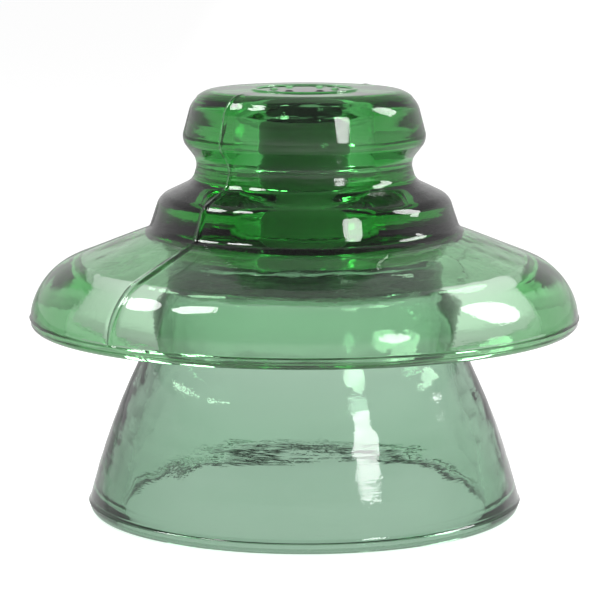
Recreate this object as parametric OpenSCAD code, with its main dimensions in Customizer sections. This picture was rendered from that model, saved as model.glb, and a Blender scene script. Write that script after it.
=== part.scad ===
// Pin insulator of pressed green glass for a power line, standing on its petticoat.
// The head shell carries the wire in its neck and sheds rain from its umbrella. The petticoat
// shell hangs below it on a cemented boss, and a thimble inside the boss screws on to a pin.
// Units are millimetres. The origin is the middle of the resting rim, with +Z up.

/* [Petticoat] */
// Diameter over the petticoat's lip
petticoat_d = 126.4; // [105:0.2:152]
// Height of the petticoat from its resting rim to the top of its collar
petticoat_h = 71; // [59:0.5:86]
// Height of the straight collar above the bell
collar_h = 12; // [10:0.5:16]
// Thickness of the collar's wall round the joint
collar_wall = 15.3; // [12:0.1:18]
// Thickness of the bell's wall at its lip
petticoat_wall = 9.5; // [7:0.1:11.4]
// How far the side of the bell bows out from a straight cone
bell_bow = 2.3; // [0:0.1:5]
// Width of the roof's ledge round the joint
roof_ledge = 7; // [5.5:0.1:8.5]
// Depth of the hollow's roof below the top of the collar
roof_depth = 5; // [4:0.1:8]
// Roundness of the petticoat's lip
petticoat_lip_round = 3; // [1.5:0.1:3.8]

/* [Umbrella] */
// Diameter over the umbrella's lip
umbrella_d = 160; // [133:1:194]
// Thickness of the umbrella's wall on its slope
umbrella_wall = 6.7; // [5.5:0.1:8.5]
// How far the head's seat stays inside the collar's edge
seat_inset = 0.4; // [0.2:0.1:2]
// Width of the throat beyond the collar, where the umbrella's underside meets the seat
throat_w = 0.9; // [0.5:0.1:3]
// Thickness of the umbrella's lip at its lowest edge
umbrella_lip_wall = 10; // [8:0.1:12]
// How far the inside of the lip leans in towards the slope
lip_lean = 5.1; // [3:0.1:7]
// Roundness between the inside of the lip and the slope
inner_round = 5; // [3:0.5:8]
// Drop from the seat on the collar to the umbrella's lowest edge
lip_drop = 18; // [15:0.5:22]
// Height of the umbrella's side above its lowest edge
rim_h = 15.8; // [13:0.1:19]
// How far the umbrella's side leans in towards its top
rim_lean = 1.3; // [0:0.1:3]
// Roundness between the umbrella's slope and its side
rim_round = 18; // [10:0.5:22]
// Roundness of the umbrella's lip
umbrella_lip_round = 3; // [1.5:0.1:4]
// Thickness of the glass above the seat, at the foot of the shoulder
root_h = 10.8; // [9:0.1:14]

/* [Shoulder, neck and crown] */
// Diameter at the foot of the shoulder
shoulder_foot_d = 90.4; // [80:0.2:100]
// Diameter at the top of the shoulder
shoulder_top_d = 84.2; // [76:0.2:88]
// Height of the shoulder
shoulder_h = 9.4; // [7:0.1:12]
// Rise from the top of the shoulder to the foot of the neck
shoulder_rise = 4.6; // [3:0.1:6]
// Diameter of the tie-wire neck at its narrowest
neck_d = 61.8; // [54:0.2:68]
// Height of the neck
neck_h = 5.6; // [4.5:0.1:8]
// How far the foot of the neck spreads, on the radius
neck_spread = 1.6; // [0:0.1:3]
// Roundness of the wire groove
neck_round = 4.2; // [2.5:0.1:5]
// Rise of the crown's underside above the neck
crown_under_h = 6.1; // [5:0.1:8]
// Diameter of the crown
crown_d = 71.4; // [66:0.2:84]
// Height of the crown's side
crown_h = 14.3; // [12:0.1:18]
// Taper of the crown's side towards its top, on the radius
crown_taper = 3.7; // [0:0.1:4.5]
// Roundness of the crown's top edge
crown_round = 7.5; // [4:0.1:9]

/* [Crown mark] */
// Radius of the plain raised ring on the crown
mark_r = 14.7; // [10:0.1:20]
// Width of the ring
mark_w = 1.4; // [0.8:0.1:2.5]
// Height of the ring and its pips
mark_h = 0.4; // [0.2:0.05:0.8]
// Number of pips inside the ring
pip_count = 6; // [3:1:10]

/* [Mould lines] */
// Height of the fine ridges that the mould leaves
flash_h = 0.35; // [0.2:0.05:0.6]
// Width of the two upright ridges on the head
seam_w = 0.7; // [0.4:0.1:1.2]
// Direction of the first upright ridge, in degrees from +X
seam_angle = 228; // [0:1:360]
// Height of the rounded band below the umbrella's mould line
umbrella_band = 3.3; // [2.5:0.1:4.5]
// Height of the rounded band below the petticoat's mould line
petticoat_band = 3.5; // [2.5:0.1:4.5]

/* [Joint between the shells] */
// Diameter of the boss under the head shell
boss_d = 47; // [42:0.2:57]
// Thickness of the cement round the boss
joint_gap = 1.5; // [1:0.1:2.5]
// Depth of the keying groove in each side of the joint
key_depth = 0.8; // [0.4:0.1:1.2]
// Width of a keying groove
key_w = 2.2; // [1.5:0.1:2.8]
// Thickness of the gasket on the collar
gasket_t = 1.2; // [0.8:0.1:2]
// How far the gasket stays inside the collar's edge
gasket_inset = 1.6; // [1:0.1:3]

/* [Pin hole and thimble] */
// Diameter of the steel pin's thread, which the insulator screws on to
pin_d = 22; // [18:0.5:27]
// Depth of the thread inside the thimble, on the radius
thread_depth = 0.5; // [0.3:0.1:0.8]
// Thickness of the thimble's wall
thimble_wall = 2.7; // [2.2:0.1:3.4]
// Air gap between the thimble and the glass, on the radius
thimble_gap = 0.3; // [0.2:0.05:0.5]
// Thickness of the glass above the pin hole
crown_glass = 8; // [6.5:0.1:12]
// Number of rings that snap into the glass
snap_count = 3; // [2:1:4]
// Depth of a snap groove in the glass
snap_depth = 0.9; // [0.6:0.1:1.2]
// Height of a snap groove
snap_w = 2.6; // [2:0.1:3.5]
// Width of the thimble's flange beyond the hole
flange_w = 4; // [3:0.1:6]
// Thickness of the flange
flange_t = 2.4; // [1.6:0.1:3.2]
// Thickness of the cushion over the thimble
cushion_t = 2; // [1.2:0.1:3]

/* [Hidden] */
$fn = 96;

// Degrees of turn that one straight step of a rounded corner takes
arc_step = 10;
// Steps along the bowed side of the bell
bell_steps = 8;
// Depth to which an upright mould ridge is rooted in the glass
seam_root = 1;

// Heights, from the resting rim up
bell_top_z = petticoat_h - collar_h;
roof_z = petticoat_h - roof_depth;
seat_z = petticoat_h + gasket_t;
lip_z = seat_z - lip_drop;
rim_z = lip_z + rim_h;
umbrella_flash_z = lip_z + umbrella_band;
foot_z = seat_z + root_h;
shoulder_z = foot_z + shoulder_h;
neck_foot_z = shoulder_z + shoulder_rise;
neck_z = neck_foot_z + neck_h;
crown_low_z = neck_z + crown_under_h;
crown_z = crown_low_z + crown_h;
hole_top_z = crown_z - crown_glass;
thimble_top_z = hole_top_z - cushion_t;

// Radii
petticoat_r = petticoat_d / 2;
umbrella_r = umbrella_d / 2;
foot_r = shoulder_foot_d / 2;
shoulder_r = shoulder_top_d / 2;
neck_r = neck_d / 2;
crown_r = crown_d / 2;
boss_r = boss_d / 2;
collar_hole_r = boss_r + joint_gap;
collar_r = collar_hole_r + collar_wall;
thread_r = pin_d / 2 - thread_depth;
thimble_r = thread_r + thimble_wall;
hole_r = thimble_r + thimble_gap;
flange_r = hole_r + flange_w;

// Smaller roundings, each tied to the wall that it belongs to
shoulder_round = shoulder_h / 2;
foot_round = shoulder_h / 3;
inner_lip_round = umbrella_lip_wall / 3;
throat_round = umbrella_wall / 2.5;
seat_round = seat_inset + throat_w;
petticoat_inner_round = petticoat_wall / 2.5;
roof_round = roof_ledge * 0.9;
end_round = thimble_wall;

glass_green = [0.42, 0.66, 0.46, 0.55];
glass_pale = [0.55, 0.76, 0.60, 0.50];
cement_grey = [0.55, 0.56, 0.52];
gasket_dark = [0.16, 0.18, 0.16];
thimble_grey = [0.34, 0.36, 0.34];
cushion_dark = [0.12, 0.12, 0.12];

// Outlines are lists of corners [radius, height, roundness], drawn with the outside on the left.
function place(c) = [c[0], c[1]];
function heading(a, b) = (place(b) - place(a)) / norm(place(b) - place(a));
function leftward(d) = [-d[1], d[0]];
function cross2(a, b) = a[0] * b[1] - a[1] * b[0];
function reversed(list) = [for (i = [len(list) - 1 : -1 : 0]) list[i]];
function slice(list, first, last) = [for (i = [first : last]) list[i]];

// How much of a side one rounded corner may take, which is less where the next is rounded too.
function share(next) = next[2] > 0 ? 0.49 : 0.95;

// The points of one corner, as an arc that is no longer than its two sides allow.
function corner(a, b, c) =
    let (
        in_dir = heading(a, b),
        out_dir = heading(b, c),
        turn = atan2(cross2(in_dir, out_dir), in_dir * out_dir),
        half = tan(abs(turn) / 2),
        room = min(share(a) * norm(place(b) - place(a)), share(c) * norm(place(c) - place(b))),
        cut = min(b[2] * half, room)
    )
    cut < 0.01 ? [place(b)] :
    let (
        radius = cut / half * sign(turn),
        start = place(b) - cut * in_dir,
        middle = start + radius * leftward(in_dir),
        steps = ceil(abs(turn) / arc_step)
    )
    [for (i = [0 : steps])
        let (now = turn * i / steps)
        middle - radius * (leftward(in_dir) * cos(now) - in_dir * sin(now))];

// An open outline with its corners rounded.
function rounded(path) = [
    place(path[0]),
    for (i = [1 : len(path) - 2]) each corner(path[i - 1], path[i], path[i + 1]),
    place(path[len(path) - 1])
];

// An open outline moved outwards by a distance, or inwards where it is negative.
function moved(path, by) = [
    for (i = [0 : len(path) - 1])
        let (
            last = len(path) - 1,
            in_dir = heading(path[max(i, 1) - 1], path[max(i, 1)]),
            out_dir = heading(path[min(i, last - 1)], path[min(i, last - 1) + 1]),
            side = leftward(in_dir) + leftward(out_dir),
            shift = by * side / (1 + in_dir * out_dir),
            grow = -sign(cross2(in_dir, out_dir)) * by
        )
        [path[i][0] + shift[0], path[i][1] + shift[1], max(0, path[i][2] + grow)]
];

// A gently bowed line from one corner to another, with the bow on the left.
function bowed(a, b, bow) = [
    for (i = [0 : bell_steps])
        let (
            along = i / bell_steps,
            out = 4 * bow * along * (1 - along) * leftward(heading(a, b)),
            spot = (1 - along) * place(a) + along * place(b) + out
        )
        [spot[0], spot[1], 0]
];

// A small ridge standing on an outline at a corner where two mould parts met.
function flash(r, z) = [
    [r - flash_h, z + flash_h, 0],
    [r, z, 0],
    [r - flash_h, z - flash_h, 0]
];

// The side of the boss or of the hole in the collar, from the top down, with its keying groove.
function keyed(r, depth, top, bottom) =
    let (z = (top + bottom) / 2)
    [
        [r, top, 0],
        [r, z + key_w / 2, 0],
        [r + depth, z + key_w / 4, 0],
        [r + depth, z - key_w / 4, 0],
        [r, z - key_w / 2, 0],
        [r, bottom, 0]
    ];

// Heights of the snap rings, spread along the pin hole.
function snap_z(i) = roof_z + (thimble_top_z - roof_z) * i / (snap_count + 1);

// The wall of the pin hole or of the thimble, from the bottom up, with its snap rings.
function snapped(r, depth, width, bottom, top) = [
    [r, bottom, 0],
    for (i = [1 : snap_count])
        let (z = snap_z(i))
        each [
            [r, z - width / 2, 0],
            [r + depth, z - width / 2 + depth / 2, depth / 2],
            [r + depth, z + width / 2 - depth / 2, depth / 2],
            [r, z + width / 2, 0]
        ],
    [r, top, 0]
];

crown_edge = [crown_r - crown_taper, crown_z, crown_round];
umbrella_foot = [foot_r, foot_z, foot_round];
rim_corner = [umbrella_r - flash_h - rim_lean, rim_z, rim_round];

// The head from the edge of its crown down to the umbrella's mould line.
head_side = [
    [crown_edge[0] - crown_round * 1.1, crown_z, 0],
    crown_edge,
    [crown_r, crown_low_z, neck_round],
    [neck_r, neck_z, neck_round],
    [neck_r + neck_spread, neck_foot_z, neck_round],
    [shoulder_r, shoulder_z, shoulder_round],
    umbrella_foot,
    rim_corner,
    [umbrella_r - flash_h, umbrella_flash_z + flash_h, 0]
];

// The underside of the umbrella, which runs along its slope from inside the lip to the throat.
lip_in_r = umbrella_r - flash_h - umbrella_lip_wall;
inner_r = lip_in_r - lip_lean;
throat_r = collar_r + throat_w;
slope_dir = heading(umbrella_foot, rim_corner);
function under_z(r) = foot_z + (r - foot_r) * slope_dir[1] / slope_dir[0] - umbrella_wall / slope_dir[0];

head_outline = rounded(concat(
    [[0, crown_z, 0]],
    slice(head_side, 1, len(head_side) - 2),
    flash(umbrella_r, umbrella_flash_z),
    [
        [umbrella_r - flash_h, lip_z, umbrella_lip_round],
        [lip_in_r, lip_z, inner_lip_round],
        [inner_r, under_z(inner_r), inner_round],
        [throat_r, under_z(throat_r), throat_round],
        [collar_r - seat_inset, seat_z, seat_round]
    ],
    keyed(boss_r, -key_depth, seat_z, roof_z),
    snapped(hole_r, snap_depth, snap_w, roof_z, hole_top_z - end_round),
    [
        [hole_r, hole_top_z, end_round],
        [0, hole_top_z, 0]
    ]
));

// The bell's outside, from the collar down to the petticoat's mould line.
bell_side = bowed(
    [collar_r, bell_top_z], [petticoat_r - flash_h, petticoat_band + flash_h], bell_bow);
// The bell's inside, from its lip up to the roof round the joint.
lip_inside_r = petticoat_r - petticoat_wall;
bell_inside = reversed(bowed(
    [collar_hole_r + roof_ledge, roof_z], [lip_inside_r, petticoat_band], bell_bow));

petticoat_outline = rounded(concat(
    [
        [collar_hole_r, petticoat_h, 0],
        [collar_r, petticoat_h, petticoat_lip_round]
    ],
    bell_side,
    slice(flash(petticoat_r, petticoat_band), 1, 2),
    [
        [petticoat_r - flash_h, 0, petticoat_lip_round],
        [lip_inside_r, 0, petticoat_inner_round]
    ],
    slice(bell_inside, 0, bell_steps - 1),
    [[collar_hole_r + roof_ledge, roof_z, roof_round]],
    reversed(keyed(collar_hole_r, key_depth, petticoat_h, roof_z))
));

// Head of the insulator: crown, tie-wire neck, shoulder, umbrella and boss in one pressing.
module head_shell() {
    color(glass_green) {
        rotate_extrude() polygon(head_outline);
        seam_ridges();
        crown_mark();
    }
}

// The upright ridges on opposite sides where the halves of the head's mould met.
module seam_ridges() {
    for (side = [0, 180])
        rotate([90, 0, seam_angle + side])
            linear_extrude(height = seam_w, center = true)
                polygon(concat(
                    rounded(moved(head_side, flash_h)),
                    reversed(rounded(moved(head_side, -seam_root)))
                ));
}

// A plain raised ring with a circle of pips, rooted in the crown.
module crown_mark() {
    root = 0.5;
    translate([0, 0, crown_z - root]) {
        rotate_extrude()
            translate([mark_r - mark_w / 2, 0])
                square([mark_w, root + mark_h]);
        for (i = [0 : pip_count - 1])
            rotate([0, 0, 360 * i / pip_count])
                translate([mark_r * 0.6, 0, 0])
                    cylinder(r = mark_w, h = root + mark_h);
    }
}

// Bell that hangs below the umbrella, with a collar round the boss.
module petticoat_shell() {
    color(glass_pale)
        rotate_extrude() polygon(petticoat_outline);
}

// Ring of cement that keys the boss into the collar.
module joint_cement() {
    color(cement_grey)
        rotate_extrude()
            polygon(concat(
                [for (c = keyed(boss_r, -key_depth, seat_z, roof_z)) place(c)],
                [[collar_hole_r, roof_z]],
                [for (c = slice(reversed(keyed(collar_hole_r, key_depth, petticoat_h, roof_z)), 1, 4))
                    place(c)],
                [[collar_hole_r, seat_z]]
            ));
}

// Flat ring on top of the collar that keeps glass off glass.
module collar_gasket() {
    color(gasket_dark)
        translate([0, 0, petticoat_h])
            rotate_extrude()
                translate([collar_hole_r, 0])
                    square([collar_r - gasket_inset - petticoat_lip_round - collar_hole_r, gasket_t]);
}

// Closed bush with a flange, snapped into the pin hole, whose bore takes the pin.
module pin_thimble() {
    rib_clearance = thimble_gap;
    rib_depth = snap_depth;
    color(thimble_grey)
        rotate_extrude()
            polygon(rounded(concat(
                [
                    [0, thimble_top_z - thimble_wall, 0],
                    [thread_r, thimble_top_z - thimble_wall, 0],
                    [thread_r, roof_z - flange_t, 0],
                    [flange_r, roof_z - flange_t, flange_t / 3],
                    [flange_r, roof_z, flange_t / 3]
                ],
                snapped(thimble_r, rib_depth, snap_w - 2 * rib_clearance, roof_z,
                    thimble_top_z - end_round),
                [
                    [thimble_r, thimble_top_z, end_round],
                    [0, thimble_top_z, 0]
                ]
            )));
}

// Soft disc between the end of the thimble and the glass.
module thimble_cushion() {
    color(cushion_dark)
        translate([0, 0, thimble_top_z])
            cylinder(r = hole_r - end_round, h = cushion_t);
}

head_shell();
petticoat_shell();
joint_cement();
collar_gasket();
pin_thimble();
thimble_cushion();
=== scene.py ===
import math

import bpy
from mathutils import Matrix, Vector


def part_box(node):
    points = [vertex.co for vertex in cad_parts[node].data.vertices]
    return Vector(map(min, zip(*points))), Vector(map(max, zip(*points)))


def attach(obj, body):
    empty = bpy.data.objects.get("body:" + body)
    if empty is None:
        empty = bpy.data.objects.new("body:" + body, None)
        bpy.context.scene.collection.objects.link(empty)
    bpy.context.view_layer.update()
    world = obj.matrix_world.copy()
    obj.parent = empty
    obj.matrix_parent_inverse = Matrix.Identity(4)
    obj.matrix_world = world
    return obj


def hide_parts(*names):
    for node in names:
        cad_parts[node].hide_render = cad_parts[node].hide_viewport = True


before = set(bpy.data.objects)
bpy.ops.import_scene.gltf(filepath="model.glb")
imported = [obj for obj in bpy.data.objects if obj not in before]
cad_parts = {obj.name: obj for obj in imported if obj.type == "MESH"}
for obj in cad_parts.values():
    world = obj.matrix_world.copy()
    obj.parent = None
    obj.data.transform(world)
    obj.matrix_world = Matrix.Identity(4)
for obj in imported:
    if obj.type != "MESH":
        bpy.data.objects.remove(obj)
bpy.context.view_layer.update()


# The petticoat shell: a bell of pressed glass that hangs below the umbrella.
# It is pale green and clear, with a rounded lip that the insulator stands on,
# and a thick collar at its top that is cemented round the boss of the head.
MM = 0.001


def pick(piece, wanted):
    """Selects the points of a piece for which wanted(place) holds, and nothing else."""
    bpy.ops.mesh.select_mode(type="VERT")
    bpy.ops.mesh.select_all(action="DESELECT")
    bpy.ops.object.mode_set(mode="OBJECT")
    for point in piece.data.vertices:
        point.select = wanted(point.co)
    bpy.ops.object.mode_set(mode="EDIT")


touching = 0.01 * MM
whole_side, half_side = 0.95, 0.49
bend_step = 5


def round_corner(piece, before, corner, after):
    """Rounds one corner of an outline with a bevel, as far as its two sides allow: up to half
    of a side where the corner at its other end is round too, or nearly all of it if not."""
    last, spot, following = (Vector((c[0], 0, c[1])) * MM for c in (before, corner, after))
    turn = (spot - last).angle(following - spot)
    cut = min(corner[2] * MM * math.tan(turn / 2),
              (spot - last).length * (half_side if before[2] else whole_side),
              (following - spot).length * (half_side if after[2] else whole_side))
    if cut > touching:
        pick(piece, lambda place: (place - spot).length < touching)
        bpy.ops.mesh.bevel(offset=cut, segments=max(2, round(math.degrees(turn) / bend_step)),
                           affect="VERTICES", clamp_overlap=False)


def divide_long(piece, longest):
    """Cuts the long straight stretches of an outline, so that the wall can ripple there."""
    while True:
        bpy.ops.mesh.select_mode(type="EDGE")
        bpy.ops.mesh.select_all(action="DESELECT")
        bpy.ops.object.mode_set(mode="OBJECT")
        places = [point.co for point in piece.data.vertices]
        found = False
        for edge in piece.data.edges:
            a, b = edge.vertices
            edge.select = (places[a] - places[b]).length > longest
            found = found or edge.select
        bpy.ops.object.mode_set(mode="EDIT")
        if not found:
            return
        bpy.ops.mesh.subdivide(number_cuts=1)


def draw_outline(name, corners, longest):
    """A single line of corners (radius, height, roundness) in mm, drawn by extruding a point."""
    bpy.ops.object.select_all(action="DESELECT")
    bpy.ops.mesh.primitive_plane_add(size=MM, location=(0, 0, 0))
    piece = bpy.context.object
    piece.name = name
    bpy.ops.object.mode_set(mode="EDIT")
    bpy.ops.mesh.merge(type="CENTER")
    at = Vector((corners[0][0], 0, corners[0][1])) * MM
    bpy.ops.transform.translate(value=at)
    for radius, height, _ in corners[1:]:
        spot = Vector((radius, 0, height)) * MM
        bpy.ops.mesh.extrude_vertices_move(TRANSFORM_OT_translate={"value": spot - at})
        at = spot
    for before, corner, after in zip(corners, corners[1:], corners[2:]):
        round_corner(piece, before, corner, after)
    divide_long(piece, longest * MM)
    return piece


weld_gap = 0.004 * MM
crease = 32


def turn_outline(sectors, turns):
    """Spins the outline by each (steps, degrees) of one sector, copies the sector round the axis
    to close the ring, and welds it into one skin."""
    bpy.ops.mesh.select_mode(type="VERT")
    bpy.ops.mesh.select_all(action="SELECT")
    for steps, degrees in turns:
        bpy.ops.mesh.spin(steps=steps, angle=math.radians(degrees),
                          center=(0, 0, 0), axis=(0, 0, 1))
    bpy.ops.mesh.select_all(action="SELECT")
    bpy.ops.mesh.spin(steps=sectors - 1, angle=math.tau * (sectors - 1) / sectors, dupli=True,
                      center=(0, 0, 0), axis=(0, 0, 1))
    bpy.ops.mesh.select_all(action="SELECT")
    bpy.ops.mesh.remove_doubles(threshold=weld_gap)
    bpy.ops.mesh.normals_make_consistent(inside=False)
    bpy.ops.object.mode_set(mode="OBJECT")
    bpy.ops.object.shade_smooth_by_angle(angle=math.radians(crease))


def raise_points(piece, name, height, share, waves=None):
    """Moves points along their normals by a height in mm times their share, from 0 to 1. With a
    wave size, the move is inwards in soft waves, as pressed glass shrinks in its mould."""
    group = piece.vertex_groups.new(name=name)
    for point in piece.data.vertices:
        part = share(point.co)
        if part > 0:
            group.add([point.index], part, "REPLACE")
    push = piece.modifiers.new(name, "DISPLACE")
    push.strength = height * MM
    push.mid_level = 0
    push.vertex_group = name
    if waves:
        push.texture = bpy.data.textures.new(name, "CLOUDS")
        push.texture.noise_scale = waves * MM
        push.texture.noise_depth = 2
        push.texture_coords = "LOCAL"
        push.mid_level = 1
    bpy.context.view_layer.objects.active = piece
    bpy.ops.object.modifier_apply(modifier=name)
    piece.vertex_groups.clear()


roundest = 400


def bowed(start, end, bow, steps=9):
    """Corners along a side that bows out by a few mm half-way, leaving out its two ends."""
    along = Vector((end[0] - start[0], end[1] - start[1]))
    out = Vector((-along.y, along.x)).normalized()
    for step in range(1, steps):
        t = step / steps
        spot = Vector(start) + along * t + out * 4 * bow * t * (1 - t)
        yield (spot.x, spot.y, roundest)


def keyed(radius, deep, top, bottom):
    """The upright wall of the joint from the top down, with one keying groove half-way."""
    middle = (top + bottom) / 2
    mouth, ground, ease = 1.1, 0.55, 0.2
    return [(radius, top, 0), (radius, middle + mouth, 0),
            (radius + deep, middle + ground, ease), (radius + deep, middle - ground, ease),
            (radius, middle - mouth, 0), (radius, bottom, 0)]


def soft_step(tree, value, start, end, low=0, high=1):
    """Goes smoothly from low to high as a node's value goes from start to end. Low and high are
    each a number or another node's output."""
    step = tree.nodes.new("ShaderNodeMapRange")
    step.interpolation_type = "SMOOTHSTEP"
    step.inputs["From Min"].default_value = start
    step.inputs["From Max"].default_value = end
    tree.links.new(value, step.inputs["Value"])
    for socket, amount in (("To Min", low), ("To Max", high)):
        if isinstance(amount, bpy.types.NodeSocket):
            tree.links.new(amount, step.inputs[socket])
        else:
            step.inputs[socket].default_value = amount
    return step.outputs["Result"]


def reckoned(tree, operation, *values):
    """Works out one sum in a node. Each value is a number or another node's output."""
    result = tree.nodes.new("ShaderNodeMath")
    result.operation = operation
    for socket, value in zip(result.inputs, values):
        if isinstance(value, bpy.types.NodeSocket):
            tree.links.new(value, socket)
        else:
            socket.default_value = value
    return result.outputs["Value"]


def pressed_surface():
    """Node group: the slow ripple, fine streaks and small grain of a pressed, fire-polished face,
    with faint level rings round the neck."""
    group = bpy.data.node_groups.new("pressed_surface", "ShaderNodeTree")
    face = group.interface
    face.new_socket("Place", in_out="INPUT", socket_type="NodeSocketVector")
    for label, start in (("Ripple", 0.5), ("Streak", 0.5), ("Grain", 0.5), ("Gloss", 0.01)):
        face.new_socket(label, in_out="INPUT", socket_type="NodeSocketFloat").default_value = start
    face.new_socket("Normal", in_out="OUTPUT", socket_type="NodeSocketVector")
    face.new_socket("Roughness", in_out="OUTPUT", socket_type="NodeSocketFloat")
    nodes, link = group.nodes, group.links.new
    given = nodes.new("NodeGroupInput")
    out = nodes.new("NodeGroupOutput")

    def noise(scale, detail, stretch=(1, 1, 1)):
        mapping = nodes.new("ShaderNodeMapping")
        mapping.inputs["Scale"].default_value = stretch
        link(given.outputs["Place"], mapping.inputs["Vector"])
        cloud = nodes.new("ShaderNodeTexNoise")
        cloud.inputs["Scale"].default_value = scale
        cloud.inputs["Detail"].default_value = detail
        link(mapping.outputs["Vector"], cloud.inputs["Vector"])
        return cloud.outputs["Fac"]

    def raised(height, strength, distance, below=None):
        bump = nodes.new("ShaderNodeBump")
        bump.inputs["Distance"].default_value = distance
        link(height, bump.inputs["Height"])
        link(strength, bump.inputs["Strength"])
        if below:
            link(below, bump.inputs["Normal"])
        return bump.outputs["Normal"]

    ripple_high, streak_high, grain_high, ring_high = 0.0001, 0.00003, 0.00003, 0.00002
    ripples = noise(scale=110, detail=1)
    streaks = noise(scale=170, detail=2, stretch=(1, 1, 6))
    grains = noise(scale=1000, detail=2)
    patches = soft_step(group, noise(scale=45, detail=2), 0.5, 0.66)

    radians_a_metre, wander = 5200, 9
    neck_low, neck_high, neck_fade = 0.093, 0.106, 0.003
    apart = nodes.new("ShaderNodeSeparateXYZ")
    link(given.outputs["Place"], apart.inputs["Vector"])
    height = apart.outputs["Z"]
    drift = reckoned(group, "MULTIPLY", noise(scale=40, detail=2), wander)
    rings = reckoned(group, "SINE", reckoned(group, "MULTIPLY_ADD", height, radians_a_metre, drift))
    neck = reckoned(group, "MULTIPLY", soft_step(group, height, neck_low, neck_low + neck_fade),
                    soft_step(group, height, neck_high, neck_high - neck_fade))
    worn = soft_step(group, noise(scale=70, detail=2), 0.35, 0.65)

    wavy = raised(ripples, given.outputs["Ripple"], ripple_high)
    streaked = raised(streaks, given.outputs["Streak"], streak_high, wavy)
    grain_share = reckoned(group, "MULTIPLY", given.outputs["Grain"], patches)
    grainy = raised(grains, grain_share, grain_high, streaked)
    ringed = raised(rings, reckoned(group, "MULTIPLY", neck, worn), ring_high, grainy)
    link(ringed, out.inputs["Normal"])

    patch_matt = 0.05
    matt = reckoned(group, "MULTIPLY_ADD", patches, patch_matt, given.outputs["Gloss"])
    link(matt, out.inputs["Roughness"])
    return group


surface = pressed_surface()


def green_glass(name, passes, density, ripple, streak, grain):
    """Clear glass whose green comes from its own depth, so thick stretches are darker."""
    glass = bpy.data.materials.new(name)
    glass.use_nodes = True
    nodes, link = glass.node_tree.nodes, glass.node_tree.links.new
    shader, out = nodes["Principled BSDF"], nodes["Material Output"]
    shader.inputs["Base Color"].default_value = (1, 1, 1, 1)
    shader.inputs["Transmission Weight"].default_value = 0.987
    shader.inputs["IOR"].default_value = 1.52
    depth = nodes.new("ShaderNodeVolumeAbsorption")
    depth.inputs["Color"].default_value = (*passes, 1)
    depth.inputs["Density"].default_value = density
    link(depth.outputs["Volume"], out.inputs["Volume"])
    where = nodes.new("ShaderNodeTexCoord")
    skin = nodes.new("ShaderNodeGroup")
    skin.node_tree = surface
    skin.inputs["Ripple"].default_value = ripple
    skin.inputs["Streak"].default_value = streak
    skin.inputs["Grain"].default_value = grain
    skin.inputs["Gloss"].default_value = 0.01
    link(where.outputs["Object"], skin.inputs["Place"])
    link(skin.outputs["Normal"], shader.inputs["Normal"])
    link(skin.outputs["Roughness"], shader.inputs["Roughness"])
    return glass


bell_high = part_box("petticoat_shell")[1]
bell_r = bell_high.x / MM
collar_z = bell_high.z / MM
collar_r, collar_hole_r, collar_round = 40.3, 25, 3
bell_top_z, bell_top_round = collar_z - 12, 6
ledge_r, roof_z, roof_round = 32, collar_z - 5, 6.3
bell_wall, bell_bow, inside_round = 9.5, 2.3, 20
bell_line_z, foot_round, foot_in_round = 3.5, 3, 3.8
flash = 0.35
key_deep = 0.8
wave_deep = 0.3

bell_skin_r = bell_r - flash
bell_in_r = bell_r - bell_wall
bell_corners = [
    (collar_hole_r, collar_z, 0),
    (collar_r, collar_z, collar_round),
    (collar_r, bell_top_z, bell_top_round)]
bell_corners += bowed((collar_r, bell_top_z), (bell_skin_r, bell_line_z + flash), bell_bow)
bell_corners += [
    (bell_skin_r, bell_line_z + flash, 0),
    (bell_r, bell_line_z, 0),
    (bell_skin_r, bell_line_z - flash, 0),
    (bell_skin_r, 0, foot_round),
    (bell_in_r, 0, foot_in_round),
    (bell_in_r, bell_line_z, inside_round)]
bell_corners += bowed((bell_in_r, bell_line_z), (ledge_r, roof_z), -bell_bow)
bell_corners += [(ledge_r, roof_z, roof_round)]
bell_corners += keyed(collar_hole_r, key_deep, collar_z, roof_z)[::-1]
bell = draw_outline("petticoat_shell_glass", bell_corners, longest=1.5)
turn_outline(8, [(40, 45)])


def bell_shrinks(place):
    """How far the bell draws in as it cools: nothing at its foot and at the top of its collar."""
    foot_fade, still_top, top_fade = 20, collar_z - 6, 8
    from_foot = min(1, place.z / (foot_fade * MM))
    return from_foot * min(1, max(0, still_top * MM - place.z) / (top_fade * MM))


raise_points(bell, "bell_waves", wave_deep, bell_shrinks, waves=14)
bell.data.materials.append(green_glass(
    "pale_green_glass", passes=(0.15, 0.525, 0.275), density=80, ripple=0.5, streak=0.7, grain=1))
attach(bell, "root")
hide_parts("petticoat_shell")


# The head shell: crown, tie-wire neck, shoulder, umbrella and boss, pressed in one from
# deep green glass. Its mould opened in two halves, so a fine ridge runs down opposite sides,
# and the pin hole rises through the boss into the crown.
head_low, head_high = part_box("head_shell")
rim_r = head_high.x / MM
mark_z = head_high.z / MM
pip_high = 0.4
crown_z = mark_z - pip_high
lip_z = head_low.z / MM
gasket_thick = 1.2
seat_z = collar_z + gasket_thick
boss_r, hole_r, hole_top_z, hole_round = 23.5, 13.5, crown_z - 8, 2.7

crown_edge, crown_side = (32, crown_z, 7.5), (35.7, 108.7, 4.2)
neck_top, neck_foot = (30.9, 102.6, 4.2), (32.5, 97, 4.2)
shoulder = (42.1, 92.4, 4.7)
foot, foot_ease = (45.2, 83), 3.1
rim, rim_ease = (78.35, 70), 18
slope = math.atan2(foot[1] - rim[1], rim[0] - foot[0])
rim_skin_r, lip_line_z, lip_round = rim_r - flash, 57.5, 3

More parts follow.
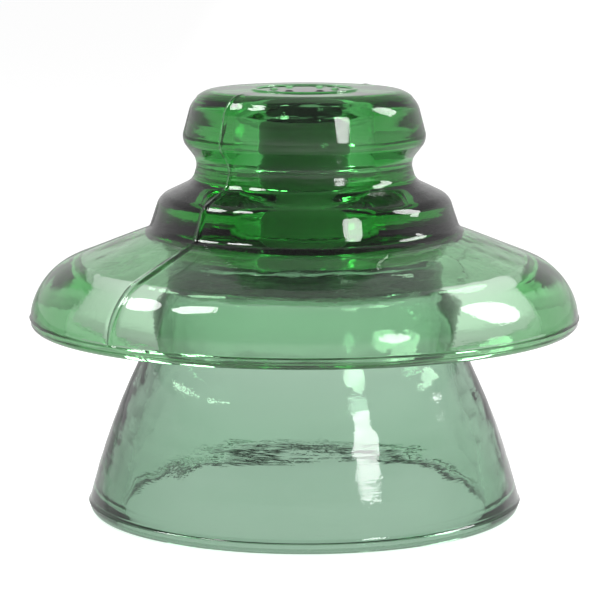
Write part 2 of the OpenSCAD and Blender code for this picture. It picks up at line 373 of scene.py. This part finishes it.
umbrella_wall, lip_wall, lip_lean = 6.7, 10, 5.1
lip_in_r, lip_in_round = rim_skin_r - lip_wall, 3.3
inner_r, inner_round = lip_in_r - lip_lean, 5
inner_z = foot[1] - (inner_r - foot[0]) * math.tan(slope) - umbrella_wall / math.cos(slope)
throat_r, throat_round = collar_r + 0.9, 2.7
throat_z = inner_z + (inner_r - throat_r) * math.tan(slope)
seat_r, seat_round = collar_r - 0.4, 1.3

thimble_top_z = hole_top_z - 2
snap_heights = [roof_z + (thimble_top_z - roof_z) * step / 4 for step in (1, 2, 3)]


def snapped(radius, width):
    """A wall from the bottom of the pin hole up, with three rings where the thimble snaps in."""
    deep, ease = 0.9, 0.45
    corners = [(radius, roof_z, 0)]
    for height in snap_heights:
        corners += [(radius, height - width / 2, 0),
                    (radius + deep, height - (width - deep) / 2, ease),
                    (radius + deep, height + (width - deep) / 2, ease),
                    (radius, height + width / 2, 0)]
    return corners


pip_r, pip_ring_r, pip_reach, pip_rows, row_gap = 1.4, 8.8, 1.8, 13, 0.3
ring_in_r, ring_out_r, ring_ease = 13.9, 15.5, 0.2
crown_top = [(0, crown_z, 0)]
crown_top += [(pip_ring_r - pip_reach + row_gap * row, crown_z, 0) for row in range(pip_rows)]
crown_top += [
    (ring_in_r, crown_z, ring_ease),
    (ring_in_r + ring_ease, mark_z, ring_ease),
    (ring_out_r - ring_ease, mark_z, ring_ease),
    (ring_out_r, crown_z, ring_ease)]
head_corners = crown_top + [
    crown_edge, crown_side, neck_top, neck_foot, shoulder, (*foot, foot_ease), (*rim, rim_ease),
    (rim_skin_r, lip_line_z + flash, 0),
    (rim_r, lip_line_z, 0),
    (rim_skin_r, lip_line_z - flash, 0),
    (rim_skin_r, lip_z, lip_round),
    (lip_in_r, lip_z, lip_in_round),
    (inner_r, inner_z, inner_round),
    (throat_r, throat_z, throat_round),
    (seat_r, seat_z, seat_round)]
head_corners += keyed(boss_r, -key_deep, seat_z, roof_z)
head_corners += snapped(hole_r, width=2.6)
head_corners += [(hole_r, hole_top_z, hole_round), (0, hole_top_z, 0)]
head = draw_outline("head_shell_glass", head_corners, longest=2.2)

seam_at, ridge = 48, 0.4
pick(head, lambda place: True)
bpy.ops.transform.rotate(value=-math.radians(seam_at), orient_axis="Z", center_override=(0, 0, 0))
turn_outline(2, [(1, ridge), (98, 180 - 2 * ridge), (1, ridge)])


def is_outside(place):
    """True on the skin that the mould shaped, above the umbrella's mould line."""
    radius, height = place.xy.length / MM, place.z / MM
    top = foot[1] - max(0, radius - foot[0]) * math.tan(slope)
    lip_from_r, skin, mark_edge_r = 71, 3, 16
    on_lip = height > lip_line_z + 0.1 and radius > lip_from_r
    return on_lip or (height > top - skin and radius > mark_edge_r)


def on_seam(place):
    """1 on the crest of the two upright mould ridges, which fade out on the crown's top."""
    crest, start_r, fade = 0.05, 24, 6
    bearing = math.degrees(math.atan2(place.y, place.x)) % 180
    off = min(abs(bearing - seam_at), 180 - abs(bearing - seam_at))
    if off < crest and is_outside(place):
        return min(1, max(0, (place.xy.length / MM - start_r) / fade))
    return 0


def on_pip(place):
    """The rounded top of the six small pips inside the crown's ring."""
    near_r, steepness, between = 11, 2.2, math.tau / 6
    if place.z < (crown_z - 0.1) * MM or place.xy.length > near_r * MM:
        return 0
    bearing = math.atan2(place.y, place.x)
    nearest = round(bearing / between) * between
    middle = Vector((math.cos(nearest), math.sin(nearest))) * pip_ring_r * MM
    away = (place.xy - middle).length / (pip_r * MM)
    return min(1, max(0, steepness * (1 - away)))


def head_shrinks(place):
    """1 where the head draws in as it cools: its skin below the crown's flat top, and the
    umbrella's underside above the foot of its lip."""
    flat_z, lip_foot_z = 121, 56
    on_skin = is_outside(place) and place.z < flat_z * MM
    below = place.xy.length > (throat_r + 1) * MM and place.z > lip_foot_z * MM
    return 1 if on_skin or below else 0


raise_points(head, "seam", flash, on_seam)
raise_points(head, "pips", pip_high, on_pip)
raise_points(head, "head_waves", wave_deep, head_shrinks, waves=16)
head.data.materials.append(green_glass(
    "green_glass", passes=(0.15, 0.758, 0.25), density=60, ripple=0.5, streak=0.8, grain=1))
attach(head, "root")
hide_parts("head_shell")


# The cement between boss and collar: a ring of grey mineral cement.
# It is poured into the joint, runs into the keying groove of each shell,
# and sets hard, so that neither can pull away.
def plain_finish(name, colour, second, roughness, grain_scale, grain_high):
    """An opaque finish whose colour drifts between two tones over a grainy face."""
    finish = bpy.data.materials.new(name)
    finish.use_nodes = True
    nodes, link = finish.node_tree.nodes, finish.node_tree.links.new
    shader = nodes["Principled BSDF"]
    where = nodes.new("ShaderNodeTexCoord")
    grain = nodes.new("ShaderNodeTexNoise")
    grain.inputs["Scale"].default_value = grain_scale
    grain.inputs["Detail"].default_value = 6
    link(where.outputs["Object"], grain.inputs["Vector"])
    tone = nodes.new("ShaderNodeMix")
    tone.data_type = "RGBA"
    tone.inputs["A"].default_value = (*colour, 1)
    tone.inputs["B"].default_value = (*second, 1)
    link(grain.outputs["Fac"], tone.inputs["Factor"])
    link(tone.outputs["Result"], shader.inputs["Base Color"])
    bump = nodes.new("ShaderNodeBump")
    bump.inputs["Distance"].default_value = grain_high
    link(grain.outputs["Fac"], bump.inputs["Height"])
    link(bump.outputs["Normal"], shader.inputs["Normal"])
    shader.inputs["Roughness"].default_value = roughness
    return finish


bite = 0.05
cement_top = seat_z - 0.1
cement_corners = keyed(boss_r - bite, -key_deep, cement_top, roof_z)
cement_corners += keyed(collar_hole_r + bite, key_deep, collar_z, roof_z)[::-1]
cement_corners += [(collar_hole_r + bite, cement_top, 0), (boss_r - bite, cement_top, 0)]
cement = draw_outline("joint_cement_ring", cement_corners, longest=1)
turn_outline(6, [(30, 60)])
cement.data.materials.append(plain_finish(
    "cement", colour=(0.42, 0.43, 0.40), second=(0.25, 0.26, 0.24),
    roughness=0.9, grain_scale=300, grain_high=0.0004))
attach(cement, "root")
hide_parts("joint_cement")


# The gasket: a flat ring of dark rubber, cut from sheet.
# It lies loose on the collar and is squeezed by the umbrella's seat, which
# keeps glass off glass.
gasket_in_r, gasket_out_r, gasket_ease = collar_hole_r + 0.1, 35.7, 0.3
gasket_corners = [
    (gasket_in_r, seat_z, 0),
    (gasket_out_r, seat_z, gasket_ease),
    (gasket_out_r, collar_z, gasket_ease),
    (gasket_in_r, collar_z, 0),
    (gasket_in_r, seat_z, 0)]
gasket = draw_outline("collar_gasket_ring", gasket_corners, longest=1)
turn_outline(6, [(30, 60)])
gasket.data.materials.append(plain_finish(
    "gasket", colour=(0.05, 0.055, 0.05), second=(0.09, 0.10, 0.09),
    roughness=0.8, grain_scale=500, grain_high=0.0001))
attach(gasket, "root")
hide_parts("collar_gasket")


# The thimble: a moulded bush of milky polymer, threaded inside for the steel pin.
# Three rings on its outside snap into the pin hole, a flange at its foot stops it,
# and its upper half is a darker brownish grey.
thimble_r, thread_r, thread_deep, pitch = 13.2, 10.5, 0.5, 4
bore_r = thread_r + thread_deep
mouth_z, mouth_ease = roof_z - 2.4, 0.6
bore_top_z, bore_round = thimble_top_z - 2.7, 1
flange_r, flange_ease = 17.5, 0.8
thimble_corners = [
    (0, bore_top_z, 0),
    (bore_r, bore_top_z, bore_round),
    (bore_r, mouth_z, mouth_ease),
    (flange_r, mouth_z, flange_ease),
    (flange_r, roof_z, flange_ease)]
thimble_corners += snapped(thimble_r, width=2)
thimble_corners += [(thimble_r, thimble_top_z, hole_round), (0, thimble_top_z, 0)]
thimble = draw_outline("pin_thimble_bush", thimble_corners, longest=0.6)
turn_outline(6, [(16, 60)])


def on_thread(place):
    """1 along the crest of the screw thread in the bore, which runs out at both ends."""
    plain, fade, on_wall = 1, 2, 0.05
    radius, height = place.xy.length / MM, place.z / MM
    if abs(radius - bore_r) > on_wall:
        return 0
    run_out = min(1, max(0, height - mouth_z - plain) / fade,
                  max(0, bore_top_z - plain - height) / fade)
    turned = math.atan2(place.y, place.x) - math.tau * height / pitch
    return run_out * (0.5 - 0.5 * math.cos(turned))


raise_points(thimble, "thread", thread_deep, on_thread)
milky = plain_finish(
    "thimble", colour=(0.86, 0.88, 0.80), second=(0.72, 0.75, 0.66),
    roughness=0.6, grain_scale=200, grain_high=0.0001)
# The thimble turns a darker brownish grey from 76 mm up, fully so above 104 mm.
dark_top_from, dark_top_to, dark_top_colour = 0.076, 0.104, (0.2, 0.2, 0.15)
nodes, link = milky.node_tree.nodes, milky.node_tree.links.new
shader = nodes["Principled BSDF"]
shader.inputs["Transmission Weight"].default_value = 0.3
lower_tone = shader.inputs["Base Color"].links[0].from_socket
where = nodes.new("ShaderNodeTexCoord")
split = nodes.new("ShaderNodeSeparateXYZ")
link(where.outputs["Object"], split.inputs["Vector"])
darker_top = nodes.new("ShaderNodeMix")
darker_top.data_type = "RGBA"
darker_top.inputs["B"].default_value = (*dark_top_colour, 1)
link(soft_step(milky.node_tree, split.outputs["Z"], dark_top_from, dark_top_to), darker_top.inputs["Factor"])
link(lower_tone, darker_top.inputs["A"])
link(darker_top.outputs["Result"], shader.inputs["Base Color"])
thimble.data.materials.append(milky)
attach(thimble, "root")
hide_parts("pin_thimble")


# The cushion: a soft black disc of rubber, dropped into the pin hole before the thimble.
# It lies between the end of the thimble and the glass, so that a pin that is
# screwed up hard never bears on the crown.
cushion_r, cushion_top, cushion_ease = hole_r - 2.7, hole_top_z + 0.05, 0.3
cushion_corners = [
    (0, thimble_top_z, 0),
    (cushion_r, thimble_top_z, cushion_ease),
    (cushion_r, cushion_top, cushion_ease),
    (0, cushion_top, 0)]
cushion = draw_outline("thimble_cushion_disc", cushion_corners, longest=2)
turn_outline(6, [(30, 60)])
cushion.data.materials.append(plain_finish(
    "cushion", colour=(0.01, 0.01, 0.01), second=(0.02, 0.02, 0.02),
    roughness=0.9, grain_scale=300, grain_high=0.0001))
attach(cushion, "root")
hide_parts("thimble_cushion")


# The studio: a wide pale floor, a pale surround with a dim ceiling, four soft boxes,
# and a long lens a little above the level of the umbrella. The floor's glow is painted
# light: brightest under the insulator as a painted pool of light, with painted shade on
# its left, and a painted green shadow where light comes through the glass.
floor_r, floor_z = 40, -0.0002
bpy.ops.object.select_all(action="DESELECT")
bpy.ops.mesh.primitive_circle_add(vertices=96, radius=floor_r, fill_type="NGON",
                                  location=(0, 0, floor_z))
floor = bpy.context.object
floor.name = "studio_floor"
paper = bpy.data.materials.new("pale_paper")
paper.use_nodes = True
tree = paper.node_tree
nodes, link = tree.nodes, tree.links.new
shader = nodes["Principled BSDF"]
shader.inputs["Base Color"].default_value = (0.3, 0.3, 0.3, 1)
shader.inputs["Roughness"].default_value = 0.9
shader.inputs["Specular IOR Level"].default_value = 0
where = nodes.new("ShaderNodeTexCoord")
reach = nodes.new("ShaderNodeVectorMath")
reach.operation = "LENGTH"
link(where.outputs["Object"], reach.inputs[0])
across = nodes.new("ShaderNodeSeparateXYZ")
link(where.outputs["Object"], across.inputs["Vector"])
# Painted light: the floor glows as a painted pool of light, stronger within a quarter metre of the
# insulator, and painted shade darkens its left side.
near_r, far_r, near_glow, far_glow = 0.25, 0.4, 0.74, 0.44
left_x, middle_x, left_share = -0.13, -0.02, 0.66
lit = soft_step(tree, reach.outputs["Value"], near_r, far_r, near_glow, far_glow)
shade = soft_step(tree, across.outputs["X"], left_x, middle_x, left_share, 1)
painted_pool_and_shade = reckoned(tree, "MULTIPLY", lit, shade)
seen = nodes.new("ShaderNodeLightPath")
seen_glow = 0.6
glow = reckoned(tree, "MULTIPLY_ADD", seen.outputs["Is Camera Ray"], seen_glow, painted_pool_and_shade)
link(glow, shader.inputs["Emission Strength"])
# Painted shadow: under the bell the floor's glow turns green-grey, a painted shadow of the glass
# with the green light that comes through it.
shadow_full_r, shadow_edge_r, painted_green_shadow = 0.058, 0.068, (0.62, 0.76, 0.67)
painted_shadow_tint = nodes.new("ShaderNodeMix")
painted_shadow_tint.data_type = "RGBA"
painted_shadow_tint.inputs["A"].default_value = (*painted_green_shadow, 1)
painted_shadow_tint.inputs["B"].default_value = (1, 1, 1, 1)
link(soft_step(tree, reach.outputs["Value"], shadow_full_r, shadow_edge_r), painted_shadow_tint.inputs["Factor"])
link(painted_shadow_tint.outputs["Result"], shader.inputs["Emission Color"])
floor.data.materials.append(paper)

surround = bpy.data.worlds.new("studio_surround")
surround.use_nodes = True
tree = surround.node_tree
nodes, link = tree.nodes, tree.links.new
nodes.clear()
out = nodes.new("ShaderNodeOutputWorld")
mixed = nodes.new("ShaderNodeMixShader")
plain = nodes.new("ShaderNodeBackground")
plain.inputs["Color"].default_value = (1, 1, 1, 1)
around = nodes.new("ShaderNodeBackground")
around.inputs["Color"].default_value = (1, 1, 1, 1)
seen = nodes.new("ShaderNodeLightPath")
direction = nodes.new("ShaderNodeTexCoord")
split = nodes.new("ShaderNodeSeparateXYZ")
link(direction.outputs["Generated"], split.inputs["Vector"])
front_wall, back_wall, front_ceiling, back_ceiling = 1, 0.68, 0.06, 0.42
walls = soft_step(tree, split.outputs["Y"], -0.5, 0.3, front_wall, back_wall)
ceiling = soft_step(tree, split.outputs["Y"], -0.1, 0.35, front_ceiling, back_ceiling)
strength = soft_step(tree, split.outputs["Z"], 0.25, 0.45, walls, ceiling)
link(strength, around.inputs["Strength"])
link(seen.outputs["Is Camera Ray"], mixed.inputs["Fac"])
link(around.outputs["Background"], mixed.inputs[1])
link(plain.outputs["Background"], mixed.inputs[2])
link(mixed.outputs["Shader"], out.inputs["Surface"])
bpy.context.scene.world = surround

lamp_distance, lamp_aim_z = 1.15, 0.07


def soft_box(name, side, height, width, tall, watts):
    """An oval soft box, at a bearing in degrees from the camera's side of the object and a
    height in degrees above the floor."""
    turn, rise = math.radians(side), math.radians(height)
    towards = Vector((math.sin(turn) * math.cos(rise), -math.cos(turn) * math.cos(rise),
                      math.sin(rise)))
    place = towards * lamp_distance + Vector((0, 0, lamp_aim_z))
    bpy.ops.object.light_add(type="AREA", location=place)
    lamp = bpy.context.object
    lamp.name = name
    lamp.data.shape = "ELLIPSE"
    lamp.data.size = width
    lamp.data.size_y = tall
    lamp.data.energy = watts
    lamp.rotation_euler = towards.to_track_quat("Z", "Y").to_euler()


soft_box("soft_box_right", side=38, height=25, width=0.26, tall=0.3, watts=2.4)
soft_box("soft_box_far_right", side=99, height=33, width=0.4, tall=0.6, watts=6)
soft_box("soft_box_left", side=-102, height=47, width=0.36, tall=0.3, watts=3)
soft_box("soft_box_high_left", side=-76, height=58, width=0.26, tall=0.26, watts=2.5)

lens_distance, lens_rise = 0.883, math.radians(8.47)
aim = Vector((-0.0013, 0, 0.0616))
camera_data = bpy.data.cameras.new("camera")
camera = bpy.data.objects.new("camera", camera_data)
bpy.context.collection.objects.link(camera)
camera_data.lens = 182
camera_data.sensor_width = 36
camera_data.clip_end = 100
camera.location = aim + Vector((0, -math.cos(lens_rise), math.sin(lens_rise))) * lens_distance
camera.rotation_euler = (aim - camera.location).to_track_quat("-Z", "Y").to_euler()
bpy.context.scene.camera = camera
bpy.context.scene.view_settings.view_transform = "Standard"
bpy.context.scene.cycles.max_bounces = 32
bpy.context.scene.cycles.transmission_bounces = 32
bpy.context.scene.cycles.glossy_bounces = 16
